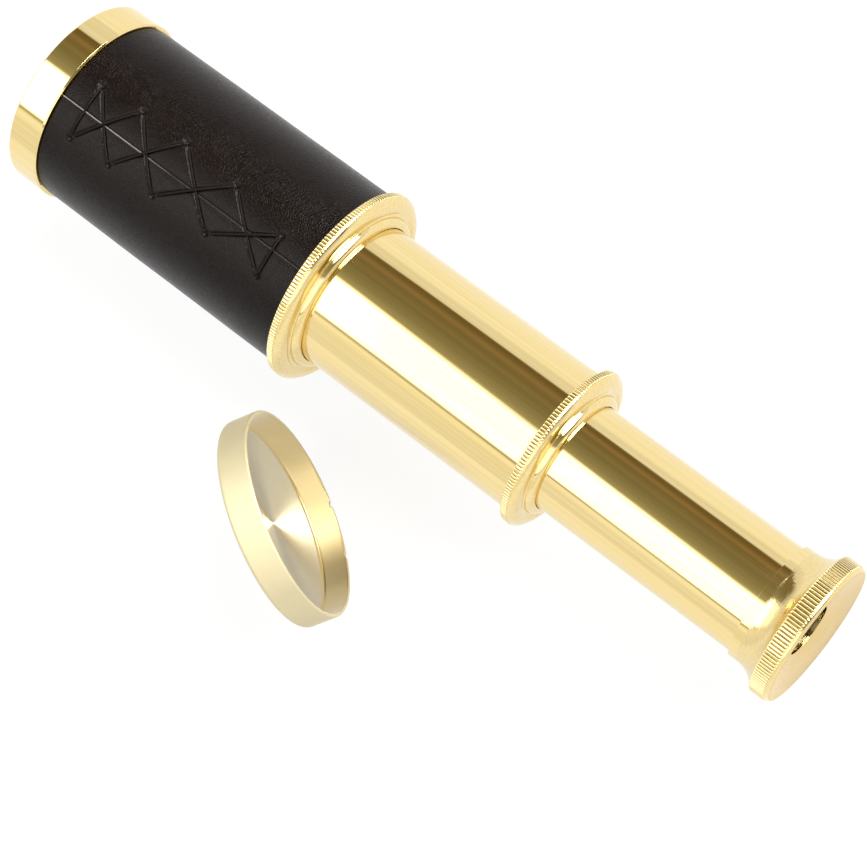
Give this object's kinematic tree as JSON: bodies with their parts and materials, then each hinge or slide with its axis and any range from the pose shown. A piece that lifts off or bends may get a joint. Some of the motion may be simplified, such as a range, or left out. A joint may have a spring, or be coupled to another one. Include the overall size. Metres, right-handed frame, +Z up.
{
  "type": "hand telescope",
  "caption": "Pocket hand telescope in polished brass: laced leather barrel, sliding draws, knurled collars, flared eyepiece and a loose slip-on lens cap.",
  "frame": {"origin": "on the optical axis at the objective's front face, the front plane of the bezel", "axes": "+X along the optical axis from the eye to the objective, the way the user looks; +Z up with the telescope lying on its side; the cap stands beside it at +Y"},
  "size_m": [0.152, 0.0649, 0.0352],
  "materials": {
    "polished_brass": "polished and lacquered",
    "satin_brass": "satin, brushed in rings",
    "turned_brass": "as turned",
    "black_lacquer": "matt black lacquer",
    "lens_glass": "clear polished",
    "felt": "thin black felt",
    "dark_leather": "fine grained, soft sheen",
    "waxed_cord": "waxed thread"
  },
  "bodies": {
    "barrel": {"objective_bezel": "polished_brass", "objective_crown_lens": "lens_glass", "objective_flint_lens": "lens_glass", "objective_retaining_ring": "turned_brass", "barrel_tube": "polished_brass", "leather_sleeve": "dark_leather", "seam_lacing": "waxed_cord", "barrel_collar": "polished_brass", "barrel_felt": "felt"},
    "first_draw": {"first_draw_tube": "polished_brass", "first_draw_stop_ring": "turned_brass", "first_draw_baffle": "black_lacquer", "draw_collar": "polished_brass", "draw_felt": "felt"},
    "second_draw": {"second_draw_tube": "polished_brass", "second_draw_stop_ring": "turned_brass", "erector_tube": "turned_brass", "erector_front_ring": "turned_brass", "erector_front_lens": "lens_glass", "erector_diaphragm": "black_lacquer", "erector_rear_lens": "lens_glass", "erector_rear_ring": "turned_brass", "field_lens_ring": "turned_brass", "field_lens": "lens_glass", "eyepiece_spacer": "turned_brass", "eye_lens": "lens_glass", "eyepiece_shell": "polished_brass"},
    "lens_cap": {"lens_cap": "satin_brass"}
  },
  "joints": [
    {"name": "draw_one_slide", "type": "slide", "parent": "barrel", "child": "first_draw", "axis": [1, 0, 0], "range_m": [0, 0.041]},
    {"name": "draw_two_slide", "type": "slide", "parent": "first_draw", "child": "second_draw", "axis": [1, 0, 0], "range_m": [0, 0.0365]},
    {"name": "cap_lift", "type": "slide", "parent": "barrel", "child": "lens_cap", "axis": [0, 0, 1], "range_m": [0, 0.06]}
  ]
}
